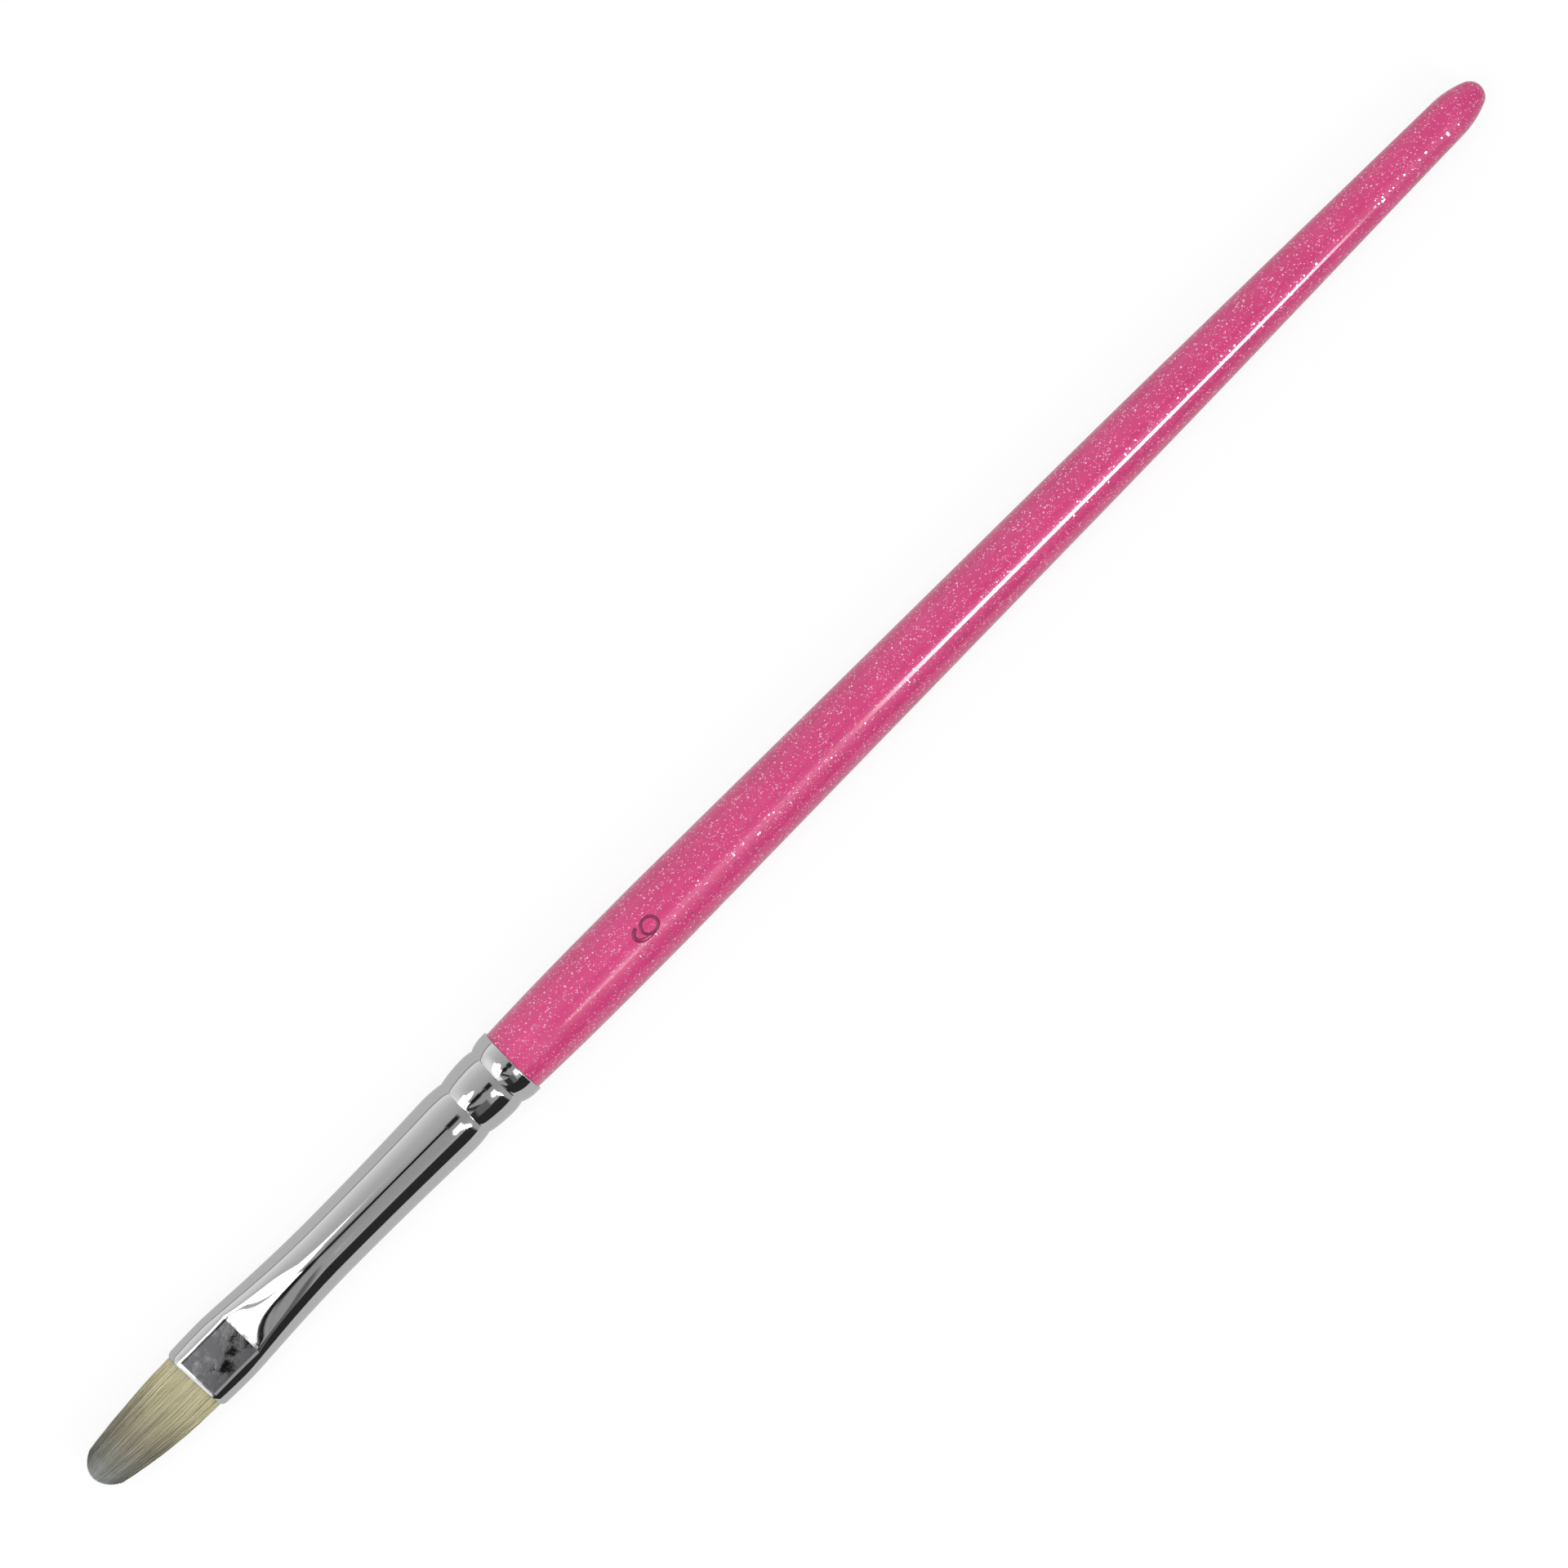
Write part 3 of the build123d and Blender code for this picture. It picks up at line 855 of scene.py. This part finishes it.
def give_numbers(piece, toward_tip, tone, across):
    """Store three numbers per point, where across runs from -1 to 1, as a colour attribute."""
    numbers = np.stack([toward_tip, tone, across * 0.5 + 0.5, np.ones_like(tone)], -1)
    attribute = piece.data.color_attributes.new("hair", "FLOAT_COLOR", "POINT")
    attribute.data.foreach_set("color", numbers.reshape(-1))


def hair_bundle(name, shares, ends, radius, seed=3):
    """Three-sided tapered tubes, one for each row of shares (side, up) of the tuft's section.

    A hair at side share s lies at s times the half width, all along its length, with a slow
    sideways wave of its own. Its radius shrinks as the square root of what is left of it.
    """
    dice = np.random.default_rng(seed)
    count = len(shares)
    along = np.linspace(0, 1, hair_rings) ** 0.85
    distance = hair_root + (ends - hair_root)[:, None] * along
    shown = np.maximum(distance, 0)
    height = dice.normal(0, 0.035, (count, 2, 1))
    pace = dice.uniform(0.25, 0.8, (count, 2, 1))
    wave = height * np.sin(distance[:, None] * pace + dice.uniform(0, 6.3, (count, 2, 1)))
    side = shares[:, :1] * tuft_half_width(shown) + wave[:, 0] + tuft_lean(shown)
    up = shares[:, 1:] * tuft_half_height(shown) + 0.5 * wave[:, 1]
    thick = (radius[:, None] * np.sqrt(np.maximum(1 - 0.93 * along, 0.0)))[:, :, None]
    spoke = dice.uniform(0, 2 * math.pi, (count, 1, 1))
    spoke = spoke + np.arange(hair_corners) * 2 * math.pi / hair_corners
    rings = to_metres(-distance[:, :, None] + 0 * spoke, side[:, :, None] + thick * np.cos(spoke),
                      up[:, :, None] + thick * np.sin(spoke))
    quads = ring_quads(hair_rings, hair_corners, False)[:, ::-1]
    cap = np.arange(hair_corners)[None, :]
    step = hair_rings * hair_corners
    first = (np.arange(count) * step)[:, None, None]
    faces = (first + quads).reshape(-1, 4).tolist()
    faces += (first + cap).reshape(-1, 3).tolist()
    faces += (first + step - hair_corners + cap[:, ::-1]).reshape(-1, 3).tolist()
    piece = add_piece(name, rings, faces)
    tone = np.repeat(dice.uniform(0, 1, count), step)
    toward_tip = np.repeat(np.clip(distance / tuft_length, 0, 1).reshape(-1), hair_corners)
    give_numbers(piece, toward_tip, tone, np.repeat(shares[:, 0], step))
    return piece


print("each hair has", hair_rings, "rings of", hair_corners, "points")

# %% [markdown]
# ## Growing the hairs
#
# The hairs that show fill the outer part of an oval section with a flat top. Where they start
# is drawn by lot, with a fixed seed, so that the tuft is the same each time. Where they end
# follows the rounding of the tip, give or take a little, because a trimmed tuft is never even.


# %% Grow the tuft
def hair_ends(shares, jitter):
    """Where each hair ends: where the rounding of the tip reaches its side share."""
    reach = np.sqrt(np.maximum(1 - shares[:, 0] ** 2, 0))
    return body_length + tip_round * reach - jitter


hair_count, flat_top = 3300, 1.32
dice = np.random.default_rng(11)
around_tuft = dice.uniform(0, 2 * math.pi, hair_count)
from_middle = np.sqrt(dice.uniform(0.72, 1.0, hair_count)) * 0.985
pressed = 1.0 / np.maximum(np.abs(np.sin(around_tuft)) * flat_top, 1.0)
shares = np.stack([from_middle * np.cos(around_tuft),
                   from_middle * flat_top * np.sin(around_tuft) * pressed], -1)
ends = hair_ends(shares, np.abs(dice.normal(0, 0.07, hair_count)))
outer_hair = hair_bundle("tuft_hair", shares, ends, dice.uniform(0.024, 0.042, hair_count))
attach(outer_hair, "root")
print("hairs:", hair_count, "faces:", len(outer_hair.data.polygons),
      "volume", round(volume_mm3(outer_hair), 1), "mm3")

# %% [markdown]
# ## The body under the hairs
#
# In a real tuft there are more hairs behind those that show. A few thousand more tubes could
# stand for them, but nobody would see them. One closed body just under the hairs does it: it
# closes the view between them and takes its colour from the same three numbers.

# %% Make the body under the hairs
body_around, body_gap_side, body_gap_up = 48, 0.22, 0.12
body_at = np.concatenate([
    [-6.0, -1.0], np.linspace(0, body_length, 24),
    body_length + tip_round * np.sin(np.linspace(0.1, 1.45, 10)),
])[::-1]
body_turn = np.linspace(0, 2 * math.pi, body_around, endpoint=False)
shown = np.maximum(body_at, 0)


def round_share(distance):
    """Share of the width that is left in the rounding: cos of the angle to a quarter circle."""
    over = np.clip((distance - body_length) / tip_round, 0, 1)
    return np.sqrt(np.maximum(1 - over**2, 0))


left = round_share(shown + 0.15)[:, None]
half_wide = (tuft_half_width(shown) - body_gap_side)[:, None] * left
half_high = (tuft_half_height(shown) - body_gap_up)[:, None] * left
body_up = np.clip(1.3 * np.sin(body_turn), -1, 1)
under_hair = skin("tuft_body", to_metres(
    -body_at[:, None], half_wide * np.cos(body_turn) + tuft_lean(shown)[:, None],
    half_high * body_up))
toward_tip = np.concatenate([np.repeat(shown / tuft_length, body_around), [1.0, 0.0]])
across = np.concatenate([np.tile(np.cos(body_turn), len(body_at)), [0.0, 0.0]])
give_numbers(under_hair, toward_tip, toward_tip * 0, across)
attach(under_hair, "root")
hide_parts("tuft")
print("body volume", round(volume_mm3(under_hair), 1), "mm3")

# %% [markdown]
# ## The colour of the hair
#
# The hair is straw-coloured where it leaves the ferrule and greyer towards the tip, and no two
# hairs are quite the same. The numbers that every point carries become colour here, so the
# pattern follows every hair: a ramp along it, a random tone that differs more towards the
# tip, and painted shade, darker where the tuft turns away at its sides.

# %% The hair's material
hair, add = new_material("straw_hair")
stored = add("ShaderNodeAttribute", {"attribute_name": "hair"}).outputs["Color"]
toward_tip, tone, across = add("ShaderNodeSeparateColor", Color=stored).outputs[:3]
straw = add.ramp(toward_tip, [
    (0.0, (0.52, 0.485, 0.305)), (0.28, (0.44, 0.405, 0.255)), (0.6, (0.28, 0.255, 0.18)),
    (0.85, (0.235, 0.235, 0.205)), (0.94, (0.30, 0.31, 0.29)), (1.0, (0.42, 0.43, 0.40))])
contrast = add.math("MULTIPLY_ADD", add.fade(toward_tip, 0.05, 0.6), 0.5, 0.5)
shade = add.math("MULTIPLY_ADD", add.math("SUBTRACT", tone, 0.5), contrast, 0.97)
off_middle = add.math("ABSOLUTE", add.math("MULTIPLY_ADD", across, 2.0, -1.0))
# Painted shade: the hair is darker where the tuft turns away at its sides, more so towards the tip
painted_side_shade = add.every(add.fade(off_middle, 0.35, 1.0), add.fade(toward_tip, 0.15, 0.50))
shade = add.math("MULTIPLY", shade, add.math("MULTIPLY_ADD", painted_side_shade, -0.35, 1.05))
toned = add.vector("SCALE", straw, Scale=shade)
hair_gloss = add("ShaderNodeBsdfPrincipled", Base_Color=toned, Roughness=0.45)
add("ShaderNodeOutputMaterial", Surface=hair_gloss.outputs[0])
for piece in (outer_hair, under_hair):
    piece.data.materials.append(hair)
print("material", hair.name, "has", len(hair.node_tree.nodes), "nodes")

# %% [markdown]
# ## Parts that stay inside
#
# The handle's wood, the glue on its tenon, the cement behind the hair and the thread that
# binds the root are closed in by other parts. They show only if the brush is taken apart, but
# each still gets an honest finish on its measured shape.

# %% Finish the inner parts
def inner_finish(node, name, dark, light, scale, stretch, rough, height):
    """A two-colour noise finish on Object coordinates, with a bump of that height."""
    material, add = new_material(name)
    place = add("ShaderNodeTexCoord").outputs["Object"]
    grain = add("ShaderNodeMapping", Vector=place, Scale=stretch)
    noise = add("ShaderNodeTexNoise", Vector=grain.outputs[0], Scale=scale, Detail=5.0).outputs[0]
    colour = add.ramp(noise, [(0.3, dark), (0.7, light)])
    bump = add("ShaderNodeBump", Strength=0.4, Distance=height, Height=noise)
    surface = add("ShaderNodeBsdfPrincipled", Base_Color=colour, Roughness=rough,
                  Normal=bump.outputs[0])
    add("ShaderNodeOutputMaterial", Surface=surface.outputs[0])
    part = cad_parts[node]
    part.data.materials.clear()
    part.data.materials.append(material)
    print(node, "->", name)


inner_finish("handle_core", "birch_wood", dark=(0.50, 0.33, 0.17), light=(0.66, 0.47, 0.27),
             scale=400.0, stretch=(0.08, 1, 1), rough=0.6, height=0.00003)
inner_finish("tenon_glue", "amber_glue", dark=(0.55, 0.36, 0.12), light=(0.70, 0.50, 0.20),
             scale=900.0, stretch=(1, 1, 1), rough=0.3, height=0.00001)
inner_finish("root_plug", "resin_cement", dark=(0.20, 0.12, 0.05), light=(0.32, 0.20, 0.09),
             scale=900.0, stretch=(1, 1, 1), rough=0.3, height=0.00002)
inner_finish("binding_thread", "linen_thread", dark=(0.55, 0.52, 0.45), light=(0.72, 0.69, 0.60),
             scale=5000.0, stretch=(1, 0.3, 0.3), rough=0.8, height=0.00003)

# %% Print how far the dressed pieces reach past the measured box
dressed_box = [list(map(float, corner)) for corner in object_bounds()]
growth = (np.array(dressed_box) - np.array(cad_box)) / MM
print("grown by mm:", growth.round(3).tolist())
